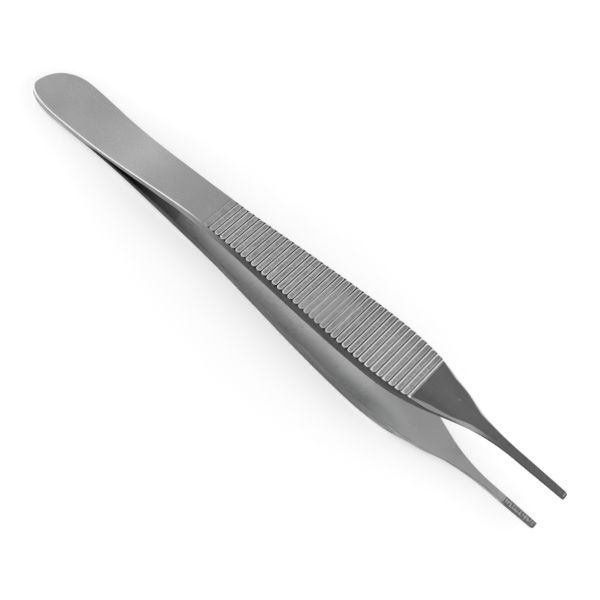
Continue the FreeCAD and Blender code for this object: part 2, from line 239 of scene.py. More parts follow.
# Where that rounding is a plain bevel, in mm from the heel end, and how far.
EDGE_BEVEL = np.array([(90.0, 0.0), (92.0, 1.0), (105.0, 1.0), (108.0, 0.0)])

# The first grooves, the hindmost serrations and the ends of each groove are cut less deep: shares
# of the full depth.
FAINT_GROOVES = (0.12, 0.5, 0.8)
FAINT_TEETH = 3
FAINT_TOOTH = 0.2
GROOVE_END = 0.45
# How far a groove may stand off its place, in mm, and how far satin steel reaches past the start
# of the ridged part, in pitches.
GROOVE_STRAY = 0.02
PLAIN_PITCHES = 0.7

# The worn patch on the grip: its middle and reach in mm, how it slants, its strength from the
# near to the far edge, how it differs from ridge to ridge, and how much of a groove it takes.
WORN_MIDDLE = 71.2
WORN_REACH = 4.2
WORN_SLANT = 0.25
WORN_ACROSS = ((-5.0, -3.5, 0.0, 2.5, 4.5), (0.6, 1.0, 0.85, 0.45, 0.0))
WORN_UNEVEN = 0.3
WORN_DEPTH = 0.92

# The painted highlight line on each rim: its place and its width in rim widths, and its level.
RIM_LINE = 0.4
RIM_LINE_WIDTH = 0.6
RIM_LINE_LEVEL = 1.2
# The front ridges, in mm from the heel end. There the painted highlight line on the rim that faces
# the heel grows wider, and the rim that faces the tip loses these shares of its fall and of its
# painted highlight.
FRONT_RIDGES = (74.0, 86.0)
FRONT_WIDER = 0.55
FRONT_FLAT = 0.8
FRONT_DIM = 0.85

# Points closer than this, and edges shorter than this, fall together at the heel's apex, in mm.
POINT_GAP = 0.002
EDGE_GAP = 0.001


def cubic(start, leave, arrive, end, steps=CURVE_STEPS):
    """Points along a cubic curve, and its direction at each of them."""
    t = np.linspace(0.0, 1.0, steps)[:, None]
    start, leave, arrive, end = (np.array(p, dtype=float) for p in (start, leave, arrive, end))
    point = ((1 - t) ** 3 * start + 3 * (1 - t) ** 2 * t * leave
             + 3 * (1 - t) * t ** 2 * arrive + t ** 3 * end)
    way = ((1 - t) ** 2 * (leave - start) + 2 * (1 - t) * t * (arrive - leave)
           + t ** 2 * (end - arrive))
    return point, way


def sweep(start, start_slope, end, end_slope, handles):
    """Points along a curve that has these slopes at its two ends."""
    leave, arrive = (handle * (end[0] - start[0]) for handle in handles)
    return cubic(start, (start[0] + leave, start[1] + start_slope * leave),
                 (end[0] - arrive, end[1] - end_slope * arrive), end)[0]


def grip_arc(profile, travel):
    """Points of the grip's outer arc at these distances along it: ahead, above and slope."""
    start = profile.grip_start_slope
    slope = start - travel / profile.arc_radius
    ahead = profile.grip_start + profile.arc_radius * (math.sin(start) - np.sin(slope))
    above = profile.grip_start_rise + profile.arc_radius * (np.cos(slope) - math.cos(start))
    return ahead, above, slope


def outer_line(plan, profile):
    """The outer face in the side view, heel to tip."""
    heel = profile.heel_thickness
    ahead, above, slope = grip_arc(profile, np.linspace(0.0, profile.arc_length, ARC_STEPS))
    spring = sweep((profile.weld_length, heel), 0.0, (ahead[0], above[0]),
                   math.tan(profile.grip_start_slope), SPRING_HANDLES)
    tip = (plan.overall_length, profile.jaw_opening / 2 + profile.tip_thickness)
    nose = sweep((ahead[-1], above[-1]), math.tan(slope[-1]), tip, -math.tan(profile.tip_slope),
                 NOSE_HANDLES)
    arc = np.column_stack((ahead, above))
    return np.vstack(([(0.0, heel)], spring, arc[1:], nose[1:]))


def inner_line(plan, profile):
    """The inner face in the side view, heel to tip."""
    spring, front = profile.spring_position, profile.grip_front
    ahead, above, slope = grip_arc(profile, np.array([0.0, profile.arc_length]))
    spring_z = (above[0] + math.tan(profile.grip_start_slope) * (spring - ahead[0])
                - profile.spring_thickness)
    front_z = above[1] - math.tan(slope[1]) * (ahead[1] - front) - profile.grip_thickness
    rise = (front_z - spring_z) / (front - spring)
    jaw_z = profile.jaw_opening / 2
    bend = sweep((profile.weld_length, 0.0), 0.0, (spring, spring_z), rise, BEND_HANDLES)
    shoulder = sweep((front, front_z), rise, (profile.jaw_start, jaw_z), 0.0, SHOULDER_HANDLES)
    return np.vstack(([(0.0, 0.0)], bend, shoulder, [(plan.overall_length, jaw_z)]))


def side_line(plan, way):
    """The plan's outline in front of the heel's round, on the far or the near side."""
    half = way / 2
    taper = (plan.tip_width - plan.jaw_width) * half / plan.jaw_length
    heel = (plan.heel_round, plan.heel_width * half)
    neck = (plan.neck_position, plan.neck_width * half)
    grip = (plan.grip_position, plan.grip_width * half)
    jaw = (plan.overall_length - plan.jaw_length, plan.jaw_width * half)
    waist = sweep(heel, 0.0, neck, 0.0, WAIST_HANDLES)
    swell = sweep(neck, 0.0, grip, 0.0, SWELL_HANDLES)
    front = sweep(grip, 0.0, jaw, taper, TAPER_HANDLES)
    tip = [(plan.overall_length, plan.tip_width * half)]
    return np.vstack((waist, swell[1:], front[1:], tip))


def heel_round_line(plan, way):
    """The heel's rounded end in plan, from its apex, with the outward normal at each point."""
    heel, lean, full = plan.heel_round, plan.heel_lean, plan.heel_fullness
    side = plan.heel_width / 2 * way
    point, run = cubic((0.0, -lean), (0.0, (side + lean) * full - lean), (heel * (1 - full), side),
                       (heel, side), HEEL_STATIONS)
    run /= np.linalg.norm(run, axis=1)[:, None]
    return point, np.column_stack((-run[:, 1], run[:, 0])) * way


def ridged_travel(ridges):
    """Where the ridged part starts and ends, as distances along the grip's arc."""
    return (ridges.first_groove - ridges.groove_pitch / 2,
            ridges.first_groove + ridges.groove_pitch * (ridges.groove_count - 0.5))


def ridged_ahead(profile, ridges):
    """Where the ridged part starts and ends, as distances from the heel end."""
    return grip_arc(profile, np.array(ridged_travel(ridges)))[0]


def station_line(plan, profile, ridges):
    """Where the cross sections stand in front of the heel's round."""
    tip = plan.overall_length
    travel = np.linspace(*ridged_travel(ridges), ridges.groove_count * GROOVE_STATIONS + 1)
    grip = grip_arc(profile, travel)[0]
    teeth_start = tip - ridges.first_tooth - ridges.tooth_pitch * (ridges.tooth_count - 0.5)
    teeth_end = tip - ridges.first_tooth - ridges.tooth_pitch / 2
    teeth = np.linspace(teeth_start, teeth_end, (ridges.tooth_count - 1) * TOOTH_STATIONS + 1)
    spring = np.linspace(plan.heel_round, grip[0], SPRING_STATIONS)
    shoulder = np.linspace(grip[-1], teeth_start, SHOULDER_STATIONS)
    end = tip - TIP_FALL[:, 0] * MM
    return np.concatenate((spring[1:-1], grip, shoulder[1:-1], teeth, end))


def worn_share(ahead, across, uneven):
    """How far fingers have worn the crests flat, in front of the grip's middle."""
    off = ahead[:, None] / MM - WORN_MIDDLE - WORN_SLANT * across / MM
    worn = np.exp(-(off / WORN_REACH) ** 2) * np.interp(across / MM, *WORN_ACROSS)
    return np.clip(worn * (1.0 + WORN_UNEVEN * uneven[:, 1:]), 0.0, 1.0)


def groove_shape(profile, ridges, ahead, across, half_width, draw):
    """How deep the grooves are cut at each place, in metres, with masks for the painted shade in
    the slots, the painted highlight on the rims, and wear.
    """
    start = profile.grip_start_slope
    lift = math.sin(start) - (ahead - profile.grip_start) / profile.arc_radius
    travel = (start - np.arcsin(lift)) * profile.arc_radius - ridges.first_groove
    number = np.round(travel / ridges.groove_pitch)
    number = np.clip(number, 0, ridges.groove_count - 1).astype(int)
    uneven = draw[number]
    lean = travel - number * ridges.groove_pitch - uneven[:, 0] * GROOVE_STRAY * MM
    # Each crest is a bar with round ends: how far inside its outline a place lies.
    half_bar = (ridges.groove_pitch - ridges.slot_width) / 2
    off = np.clip(ridges.groove_pitch / 2 - np.abs(lean), 0.0, None)[:, None]
    in_from_side = half_width[:, None] - np.abs(across)
    inside = np.where(in_from_side < half_bar, half_bar - np.hypot(off, half_bar - in_from_side),
                      half_bar - off)
    rim = np.clip(1.0 - inside / ridges.rim_width, 0.0, 1.0)
    slot = np.clip(-inside / (ridges.slot_width / 2), 0.0, 1.0)
    faint = np.ones(ridges.groove_count)
    faint[:len(FAINT_GROOVES)] = FAINT_GROOVES
    worn = worn_share(ahead, across, uneven)
    strength = faint[number][:, None] * (1.0 - WORN_DEPTH * worn)
    shallow = np.where(in_from_side < half_bar / 2, GROOVE_END, 1.0)
    # In front, the rim that faces the heel keeps its painted highlight and its slot loses most of
    # its painted shade, and the one that faces the tip lies flat and loses most of its painted
    # highlight.
    front = np.interp(ahead / MM, FRONT_RIDGES, (0.0, 1.0))[:, None]
    to_heel = lean[:, None] > 0
    fall = ridges.rim_fall * np.where(to_heel, 1.0, 1.0 - FRONT_FLAT * front)
    depth = fall * rim ** 2 + (ridges.groove_depth - fall) * slot * shallow
    width = ridges.rim_width * (RIM_LINE_WIDTH + np.where(to_heel, FRONT_WIDER * front, 0.0))
    # The painted highlight line along each rim.
    light = RIM_LINE_LEVEL - np.abs(inside - RIM_LINE * ridges.rim_width) / width
    light = np.clip(light, 0.0, 1.0) * np.where(to_heel, 1.0, 1.0 - FRONT_DIM * front)
    # The painted shade in each slot.
    dark = slot * np.where(to_heel, 1.0 - FRONT_DIM * front, 1.0)
    return depth * strength, {"slot": dark * strength, "rim": light * strength, "worn": worn}


def tooth_shape(plan, ridges, along):
    """Depth of the jaw's serrations at each place along the arm."""
    back = plan.overall_length - ridges.first_tooth - along
    number = np.clip(np.round(back / ridges.tooth_pitch), 0, ridges.tooth_count - 1)
    away = np.abs(back - number * ridges.tooth_pitch)
    faint = np.where(number < ridges.tooth_count - FAINT_TEETH, 1.0, FAINT_TOOTH)
    return ridges.tooth_depth * faint * np.clip(1.0 - away / (ridges.tooth_width / 2), 0.0, 1.0)


def steps_of(kind, way, steps):
    """The points along a wall or a rounding."""
    return [(kind, way, i / steps) for i in range(steps + 1)]


def ring_layout():
    """The points of one cross section, from the far side over the outer face and back inside.

    Gives, for each point, what it belongs to, the side it hangs on, and its share of the way:
    from far to near across the faces, up the walls and outer roundings, down the inner ones.
    """
    shares = SIDE_SHARES + FACE_SHARES + [1.0 - q for q in reversed(SIDE_SHARES)]
    rows = [("outer", FAR, q) for q in shares]
    rows += steps_of("outer_round", NEAR, ROUND_STEPS)[-2::-1]
    rows += steps_of("wall", NEAR, WALL_STEPS)[-2::-1]
    rows += steps_of("inner_round", NEAR, INNER_ROUND_STEPS)[1:]
    rows += [("inner", FAR, 1.0 - q) for q in shares[1:]]
    rows += steps_of("inner_round", FAR, INNER_ROUND_STEPS)[-2::-1]
    rows += steps_of("wall", FAR, WALL_STEPS)[1:]
    rows += steps_of("outer_round", FAR, ROUND_STEPS)[1:-1]
    return rows


def arm_lines(plan, profile, ridges):
    """What the sections hang on: both sides in plan with their normals, outer and inner face."""
    ahead = station_line(plan, profile, ridges)
    last = len(TIP_FALL)
    sides = {}
    for way in (FAR, NEAR):
        point, out = heel_round_line(plan, way)
        line = np.column_stack((ahead, np.interp(ahead, *side_line(plan, way).T)))
        line[-last:, 1] -= TIP_FALL[:, 2] * MM * way
        sides[way] = (np.vstack((point, line)),
                      np.vstack((out, np.tile((0.0, way), (len(ahead), 1)))))
    along = sides[FAR][0][:, 0]
    top = np.interp(along, *outer_line(plan, profile).T)
    bottom = np.interp(along, *inner_line(plan, profile).T)
    top[-last:] -= TIP_FALL[:, 1] * MM
    return sides, along, top, bottom


def ring_points(profile, layout, sides, along, top, bottom):
    """The plain arm without ridges and serrations, as sections by points by coordinates."""
    last = len(TIP_FALL)
    edge = np.interp(along, *(EDGE_ROUND * MM).T)
    edge[-last:] = np.minimum(edge[-last:], (top - bottom)[-last:] * TIP_EDGE_SHARE)
    flat = np.interp(along / MM, *EDGE_BEVEL.T)
    inner_edge = np.full_like(along, profile.inner_edge_round)
    points = np.zeros((len(along), len(layout), 3))
    for index, (kind, way, q) in enumerate(layout):
        line, out = sides[way]
        turn = q * math.pi / 2
        if kind in ("outer", "inner"):
            inset, height = (edge, top) if kind == "outer" else (inner_edge, bottom)
        elif kind == "outer_round":
            inset = edge * (1.0 - math.cos(turn)) * (1.0 - flat) + edge * q * flat
            drop = edge * (1.0 - math.sin(turn)) * (1.0 - flat) + edge * (1.0 - q) * flat
            height = top - drop
        elif kind == "wall":
            inset = np.zeros_like(edge)
            height = (bottom + inner_edge) * (1 - q) + (top - edge) * q
        else:
            inset = inner_edge * (1.0 - math.cos(turn))
            height = bottom + inner_edge - inner_edge * math.sin(turn)
        place = line - out * inset[:, None]
        if kind in ("outer", "inner"):
            near_line, near_out = sides[NEAR]
            place = place * (1 - q) + (near_line - near_out * inset[:, None]) * q
        points[:, index, :2] = place
        points[:, index, 2] = height
    return points


def arm_points(plan, profile, ridges, seed):
    """All points of an arm with ridges and serrations, and the masks for its materials."""
    draw = np.random.default_rng(seed).uniform(-1.0, 1.0, (ridges.groove_count, 2))
    sides, along, top, bottom = arm_lines(plan, profile, ridges)
    layout = ring_layout()
    kinds = np.array([row[0] for row in layout])
    points = ring_points(profile, layout, sides, along, top, bottom)
    masks = {name: np.zeros(points.shape[:2]) for name in ("slot", "rim", "worn", "tooth")}

    start, end = ridged_ahead(profile, ridges)
    rows = np.where((along > start) & (along < end))[0]
    columns = np.where(np.isin(kinds, ("outer", "outer_round")))[0]
    place = np.ix_(rows, columns)
    half_width = sides[FAR][0][rows, 1]
    depth, marks = groove_shape(profile, ridges, along[rows], points[place][:, :, 1], half_width,
                                draw)
    points[place[0], place[1], 2] = np.minimum(points[place][:, :, 2], top[rows][:, None] - depth)
    for name, values in marks.items():
        masks[name][place] = values

    tooth = tooth_shape(plan, ridges, along)
    inner = np.where(kinds == "inner")[0]
    lip = np.where(kinds == "inner_round")[0]
    points[:, inner, 2] += tooth[:, None]
    points[:, lip, 2] = np.maximum(points[:, lip, 2], (bottom + tooth)[:, None])
    masks["tooth"][:, inner] = (tooth / ridges.tooth_depth)[:, None]
    masks["ahead"] = points[:, :, 0] / MM
    masks["across"] = points[:, :, 1] / MM
    for name, kind in (("edge", "outer_round"), ("lip", "inner_round")):
        masks[name] = np.tile(kinds == kind, (len(along), 1)).astype(float)
    return points, kinds, masks


# An arm's materials in the order of its slots. Each arm has a side material of its own, which
# holds the painted reflection and shade on that arm's sides.
MATERIALS = ("satin_steel", "ridged_steel", "side", "inner_steel", "front_steel", "toothed_steel")
SATIN, RIDGED, SIDE, INNER, FRONT, TOOTHED = range(len(MATERIALS))


def face_materials(plan, profile, ridges, along, kinds):
    """Which material each face takes: by its place round the section and along the arm."""
    middle = (along[:-1] + along[1:]) / 2
    start, end = ridged_ahead(profile, ridges)
    start += ridges.groove_pitch * PLAIN_PITCHES
    marked = ridges.tooth_count - FAINT_TEETH
    teeth_from = plan.overall_length - ridges.first_tooth - ridges.tooth_pitch * marked
    index = np.full((len(middle), len(kinds)), SIDE)
    for column, kind in enumerate(kinds):
        pair = {kind, kinds[(column + 1) % len(kinds)]}
        if pair <= {"outer", "outer_round"}:
            index[:, column] = np.where(middle < start, SATIN,
                                        np.where(middle < end, RIDGED, FRONT))
        elif pair <= {"inner", "inner_round"} and "inner" in pair:
            index[:, column] = np.where(middle < teeth_from, INNER, TOOTHED)
    index[middle > plan.overall_length - TIP_GROUND * MM] = SIDE
    return np.append(index.reshape(-1), SIDE).astype(np.int32)


def stand(name, data):
    """A new object in the scene."""
    thing = bpy.data.objects.new(name, data)
    bpy.context.collection.objects.link(thing)
    return thing


def build_arm(context, node, side, seed):
    """One arm as a single closed mesh, standing where the frame has its node."""
    scene = context.scene
    plan, profile, ridges = scene.forceps_plan, scene.forceps_profile, scene.forceps_ridges
    points, kinds, masks = arm_points(plan, profile, ridges, seed)
    sections, around, _ = points.shape
    points[:, :, 2] *= side
    here = np.arange(sections - 1)[:, None] * around + np.arange(around)[None, :]
    beside = np.arange(sections - 1)[:, None] * around + (np.arange(around)[None, :] + 1) % around
    quads = np.stack((here, beside, beside + around, here + around), axis=-1).reshape(-1, 4)
    cap = [(sections - 1) * around + i for i in range(around)]
    if side < 0:
        quads, cap = quads[:, ::-1], cap[::-1]
    mesh = bpy.data.meshes.new(node + "_steel")
    mesh.from_pydata(points.reshape(-1, 3).tolist(), [], quads.tolist() + [cap])
    for name in MATERIALS:
        own = node + "_side" if name == "side" else name
        mesh.materials.append(bpy.data.materials[own])
    along = points[:, :, 0].mean(axis=1)
    mesh.polygons.foreach_set("material_index",
                              face_materials(plan, profile, ridges, along, kinds))
    mesh.polygons.foreach_set("use_smooth", np.append(np.ones(len(quads), dtype=bool), False))
    for name, values in masks.items():
        layer = mesh.attributes.new(name, "FLOAT", "POINT")
        layer.data.foreach_set("value", values.reshape(-1).astype(np.float32))
    mesh.update()
    weld_doubles(mesh)
    mesh.transform(placement())

    arm = stand(node + "_detail", mesh)
    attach(arm, "root")
    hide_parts(node)


def weld_doubles(mesh):
    """Joins the points that fall together at the heel's apex."""
    work = bmesh.new()
    work.from_mesh(mesh)
    bmesh.ops.remove_doubles(work, verts=work.verts, dist=POINT_GAP * MM)
    bmesh.ops.dissolve_degenerate(work, edges=work.edges, dist=EDGE_GAP * MM)
    work.to_mesh(mesh)
    work.free()
    mesh.update()


def placement():
    """How the arms' own frame stands in the frame of the CAD model."""
    axis = [m["axis"] for m in frame["record"]["mounts"] if m["name"] == "upper_heel_face"][0]
    tilt = math.atan2(-axis[0], axis[2])
    base = Vector((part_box("lower_arm")[0].x, 0.0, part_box("upper_arm")[0].z))
    return Matrix.Translation(base) @ Matrix.Rotation(-tilt, 4, "Y")


# Where a mix node keeps its two colours and their blend, among sockets of the same names.
MIX_ONE, MIX_TWO, MIXED = 6, 7, 2


class Nodes:
    """Short ways to add nodes to a tree and join them."""

    def __init__(self, tree):
        self.tree = tree

    def add(self, kind, **settings):
        """A new node with these settings."""
        node = self.tree.nodes.new(kind)
        for name, value in settings.items():
            setattr(node, name, value)
        return node

    def put(self, socket, value):
        """Joins an output to an input, or sets the input to a plain value or a solid colour."""
        if isinstance(value, bpy.types.NodeSocket):
            self.tree.links.new(value, socket)
        else:
            socket.default_value = (*value, 1.0) if isinstance(value, Color) else value

    def math(self, operation, *values, clamp=False):
        """A sum on up to three values."""
        node = self.add("ShaderNodeMath", operation=operation, use_clamp=clamp)
        for socket, value in zip(node.inputs, values):
            self.put(socket, value)
        return node.outputs[0]

    def plus(self, one, two, clamp=False):
        return self.math("ADD", one, two, clamp=clamp)

    def times(self, one, two):
        return self.math("MULTIPLY", one, two)

    def blend(self, factor, one, two):
        """A colour between two colours."""
        node = self.add("ShaderNodeMix", data_type="RGBA")
        self.put(node.inputs["Factor"], factor)
        self.put(node.inputs[MIX_ONE], one)
        self.put(node.inputs[MIX_TWO], two)
        return node.outputs[MIXED]

    def spread(self, value, change):
        """Maps a span of values softly to another one, and holds it there."""
        node = self.add("ShaderNodeMapRange", interpolation_type="SMOOTHSTEP")
        self.put(node.inputs["Value"], value)
        for name, number in zip(("From Min", "From Max", "To Min", "To Max"), change):
            self.put(node.inputs[name], number)
        return node.outputs["Result"]

    def fade(self, base, paint, value, change):
        """Lays a colour over another one, as strongly as the value says."""
        return self.blend(self.spread(value, change), base, paint)

    def place(self, scale=(1.0, 1.0, 1.0)):
        """The place on the arm in millimetres, stretched along its axes."""
        where = self.add("ShaderNodeTexCoord")
        node = self.add("ShaderNodeMapping")
        self.put(node.inputs["Vector"], where.outputs["Object"])
        node.inputs["Scale"].default_value = [s / MM for s in scale]
        return node.outputs["Vector"]

    def noise(self, vector, scale, detail, roughness):
        """Soft noise around one half."""
        node = self.add("ShaderNodeTexNoise")
        for name, value in (("Vector", vector), ("Scale", scale), ("Detail", detail),
                            ("Roughness", roughness)):
            self.put(node.inputs[name], value)
        return node.outputs["Fac"]

    def mask(self, name):
        """A mask kept on the mesh."""
        return self.add("ShaderNodeAttribute", attribute_name=name).outputs["Fac"]

    def group(self, name, **values):
        """The outputs of a node group with these inputs."""
        node = self.add("ShaderNodeGroup", node_tree=bpy.data.node_groups[name])
        for label, value in values.items():
            self.put(node.inputs[label], value)
        return node.outputs


# How finishes, painted highlights and painted shade change along the arm: where each change starts
# and ends, in mm from the heel end, and its strength at either place.
HEEL_SHEEN = (6.0, 20.0, 0.34, 0.14)
SPRING_DARKENING = (23.0, 35.0, 0.0, 0.72)
# The painted highlight on the satin's rounded edges fades out here.
EDGE_HIGHLIGHT_END = (38.0, 45.0, 0.9, 0.0)
GRIP_START = (44.0, 50.0, 0.45, 0.0)
GRIP_MIDDLE = (56.0, 66.0, 0.0, 0.12)
GRIP_FRONT = (*FRONT_RIDGES, 0.0, 0.42)
FRONT_SLOTS = (*FRONT_RIDGES, 0.0, 1.0)
RIM_HIGHLIGHT = (76.0, 86.0, 0.75, 1.0)
# Painted reflection and shade on the sides, from the heel to the shoulder:
HEEL_SIDE = (11.0, 24.0, 0.6, 0.1)
SIDES_PART = (15.0, 19.0, 0.0, 1.0)
SPRING_SIDE = (26.0, 37.0, 0.0, 1.0)
LIP_START = (38.0, 50.0, 0.0, 0.9)
LOWER_SIDE_START = (38.0, 52.0, 0.0, 1.0)
UPPER_SIDE_START = (42.0, 55.0, 0.0, 1.0)
LOWER_SIDE_PALE = (82.0, 96.0, 0.0, 1.0)
# Marks on the lower arm's side near the teeth:
TEETH_MARKED = (112.6, 113.8, 0.0, 1.0)
# Painted shade between the springs: very dark, fading to the inner steel, and ending at a sharp
# slanted edge.
SPRING_SHADE = (22.0, 32.0, 0.0, 0.75)
SHADE_END = (36.6, 37.3, 1.0, 0.0)
# Painted shade and sheen on the inner faces along the arm:
GRIP_INSIDE = (37.0, 48.0, 0.3, 0.0)
SHOULDER_INSIDE = (78.0, 90.0, 0.0, 0.36)
NEAR_DULL_END = (86.0, 99.0, 1.0, 0.15)
JAW_INSIDE = (93.0, 104.0, 0.0, -0.3)
JAW_PALE = (95.0, 104.0, 0.0, 0.45)
# On the outer face of the shoulder and jaw: specks toward the jaw, and painted shade on the jaw's
# rounded edges.
JAW_SPECKS = (100.0, 106.0, 0.0, 0.6)
JAW_EDGES = (102.0, 106.0, 0.0, 0.75)

# The same across the arm, in mm from the middle, the near side being below 0.
# Painted shade toward the near edge: inside the grip, and on the shoulder's outer face.
NEAR_INSIDE = (-5.0, -1.2, 0.85, 0.0)
NEAR_SHOULDER = (-3.8, -0.6, 0.8, 0.0)
# Crests darker toward the far side:
FAR_CRESTS = (1.5, 4.6, 0.0, 0.5)
# Painted shade toward the sides of the serrated jaw:
JAW_SIDES = (0.35, 0.6, 0.0, 0.8)

# The slant of the shade between the springs, and the speck on the shoulder: its place, and its
# strength over the square of the distance from it, in mm.
SHADE_SLANT = 0.35
SPECK_AHEAD, SPECK_ACROSS = 97.4, 0.8
SPECK = (0.004, 0.02, 0.9, 0.0)

# How noise and masks turn into mottling, painted shade and roughness, from a span to a strength.
CLOUDS = (0.35, 0.65, 0.0, 1.0)
SPECKLE = (0.38, 0.62, 0.0, 1.0)
CREST_STREAKS = (0.36, 0.64, 0.0, 0.5)
CREST_FLECKS = (0.45, 0.6, 0.0, 0.5)
SLOT_SHADE = (0.1, 0.55, 0.0, 1.0)
JAW_MARKS = (0.2, 0.8, 0.35, 1.0)
TOOTH_SHADE = (0.2, 0.8, 0.1, 0.85)
TOOTH_CHIPS = (0.42, 0.58, 0.05, 0.9)
SATIN_ROUGH = (0.0, 1.0, 0.26, 0.29)
FRONT_ROUGH = (0.0, 1.0, 0.24, 0.27)
CREST_ROUGH = (0.0, 1.0, 0.3, 0.42)
SIDE_ROUGH = (0.0, 1.0, 0.36, 0.46)
INNER_ROUGH = (0.0, 1.0, 0.26, 0.32)
TOOTH_ROUGH = (0.0, 1.0, 0.28, 0.4)
RIM_START, RIM_ROUGH = 0.3, 0.2
CREST_MOTTLE = 0.25
WORN_SATIN = 0.75
SIDE_LINES = 0.35
TOOTH_MOTTLE = (0.5, 0.2)

# How fine noise is along, across and up the arm, and how fine and coarse grain are mixed.
LONG_STREAKS = (0.12, 1.6, 1.6)
CROSS_STREAKS = (2.4, 0.7, 1.0)
FLECKS = (5.5, 4.0, 1.0)
CHIPS = (3.0, 4.5, 1.0)
COARSE = 0.3
FINE_SHARE, COARSE_SHARE = 0.65, 0.35


def new_group(name, inputs, outputs):
    """An empty shader node group with these number sockets."""
    group = bpy.data.node_groups.new(name, "ShaderNodeTree")
    for label, default in inputs.items():
        socket = group.interface.new_socket(label, in_out="INPUT", socket_type="NodeSocketFloat")
        socket.default_value = default
    for label in outputs:
        group.interface.new_socket(label, in_out="OUTPUT", socket_type="NodeSocketFloat")
    nodes = Nodes(group)
    return nodes, nodes.add("NodeGroupInput").outputs, nodes.add("NodeGroupOutput").inputs


def make_grain_group():
    """Fine blasted grain: a height for bump and a speckle from 0 to 1."""
    nodes, given, result = new_group("Steel_Grain", {"Size": 0.15}, ("Height", "Speckle"))
    where = nodes.place()
    scale = nodes.math("DIVIDE", 1.0, given["Size"])
    fine = nodes.noise(where, scale, 2.0, 0.6)
    coarse = nodes.noise(where, nodes.times(scale, COARSE), 2.0, 0.5)
    height = nodes.plus(nodes.times(fine, FINE_SHARE), nodes.times(coarse, COARSE_SHARE))
    nodes.put(result["Height"], height)
    nodes.put(result["Speckle"], nodes.spread(height, SPECKLE))


def make_cloud_group():
    """Soft clouds of uneven tone, and long streaks along the arm, from 0 to 1."""
    nodes, given, result = new_group("Steel_Clouds", {"Size": 6.0, "Shift": 0.0},
                                     ("Cloud", "Streak"))
    where = nodes.add("ShaderNodeVectorMath", operation="ADD")
    nodes.put(where.inputs[0], nodes.place())
    nodes.put(where.inputs[1], given["Shift"])
    scale = nodes.math("DIVIDE", 1.0, given["Size"])
    cloud = nodes.noise(where.outputs[0], scale, 3.0, 0.55)
    streak = nodes.noise(nodes.place(LONG_STREAKS), 1.0, 3.0, 0.6)
    nodes.put(result["Cloud"], nodes.spread(cloud, CLOUDS))
    nodes.put(result["Streak"], nodes.spread(streak, CLOUDS))


def new_material(name, metallic):
    """A material, its node tree and its shader."""
    material = bpy.data.materials.new(name)
    material.use_nodes = True
    shader = material.node_tree.nodes["Principled BSDF"]
    shader.inputs["Metallic"].default_value = metallic
    return material, Nodes(material.node_tree), shader


def new_steel(name, cloud_size, cloud_shift, grain_size):
    """A steel: its node tree, its shader, and the outputs of its clouds and its grain."""
    _, nodes, shader = new_material(name, 1.0)
    clouds = nodes.group("Steel_Clouds", Size=cloud_size, Shift=cloud_shift)
    return nodes, shader, clouds, nodes.group("Steel_Grain", Size=grain_size)


def finish_steel(nodes, shader, paint, roughness, grain, strength, distance):
    """Gives the shader its colour, its roughness, and the grain as bumps of so many mm."""
    bump = nodes.add("ShaderNodeBump")
    bump.inputs["Strength"].default_value = strength
    bump.inputs["Distance"].default_value = distance * MM
    nodes.put(bump.inputs["Height"], grain["Height"])
    nodes.put(shader.inputs["Base Color"], paint)
    nodes.put(shader.inputs["Roughness"], roughness)
    nodes.put(shader.inputs["Normal"], bump.outputs["Normal"])


def dullness(nodes, clouds, grain, broad, cloud_share, speckle_share):
    """How far a face darkens: clouds and speckle on top of a broad change of tone, which on the
    shoulder and the inner faces is painted shade.
    """
    fine = nodes.plus(nodes.times(clouds["Cloud"], cloud_share),
                      nodes.times(grain["Speckle"], speckle_share))
    return nodes.plus(fine, broad, clamp=True)


def make_satin(finish):
    """Heel and spring: satin steel that grows darker toward the grip, with a painted highlight on
    its rounded edges.
    """
    nodes, shader, clouds, grain = new_steel("satin_steel", cloud_size=9.0, cloud_shift=5.0,
                                             grain_size=0.16)
    ahead = nodes.mask("ahead")
    broad = nodes.plus(nodes.spread(ahead, SPRING_DARKENING), nodes.spread(ahead, HEEL_SHEEN))
    dull = dullness(nodes, clouds, grain, broad, cloud_share=0.2, speckle_share=0.07)
    paint = nodes.blend(dull, finish.satin, finish.satin_dark)
    # The rounded edges take a painted highlight, white, up to the start of the grip.
    edge_highlight = nodes.times(nodes.mask("edge"), nodes.spread(ahead, EDGE_HIGHLIGHT_END))
    paint = nodes.blend(edge_highlight, paint, finish.edge)
    rough = nodes.spread(clouds["Streak"], SATIN_ROUGH)
    finish_steel(nodes, shader, paint, rough, grain, strength=0.08, distance=0.01)


def make_front(finish):
    """Shoulder and jaw: satin steel painted darker than the heel's as shade, darker still on the
    near side as painted shade, with painted shade on the jaw's edges and a bright speck.
    """
    nodes, shader, clouds, grain = new_steel("front_steel", cloud_size=9.0, cloud_shift=19.0,
                                             grain_size=0.16)
    ahead, across = nodes.mask("ahead"), nodes.mask("across")
    specks = nodes.times(nodes.spread(ahead, JAW_SPECKS), grain["Speckle"])
    # Painted shade toward the near side of the shoulder, with specks toward the jaw.
    broad = nodes.plus(nodes.spread(across, NEAR_SHOULDER), specks)
    dull = dullness(nodes, clouds, grain, broad, cloud_share=0.2, speckle_share=0.07)
    paint = nodes.blend(dull, finish.jaw, finish.jaw_clouds_and_shade)
    # Painted shade on the rounded edges at the jaw, very dark.
    jaw_edge_shade = nodes.times(nodes.mask("edge"), nodes.spread(ahead, JAW_EDGES))
    paint = nodes.blend(jaw_edge_shade, paint, finish.upper_side)
    aside = nodes.math("SUBTRACT", across, SPECK_ACROSS)
    along = nodes.math("SUBTRACT", ahead, SPECK_AHEAD)
    apart = nodes.plus(nodes.times(aside, aside), nodes.times(along, along))
    paint = nodes.fade(paint, finish.edge, apart, SPECK)
    rough = nodes.spread(clouds["Streak"], FRONT_ROUGH)
    finish_steel(nodes, shader, paint, rough, grain, strength=0.08, distance=0.01)


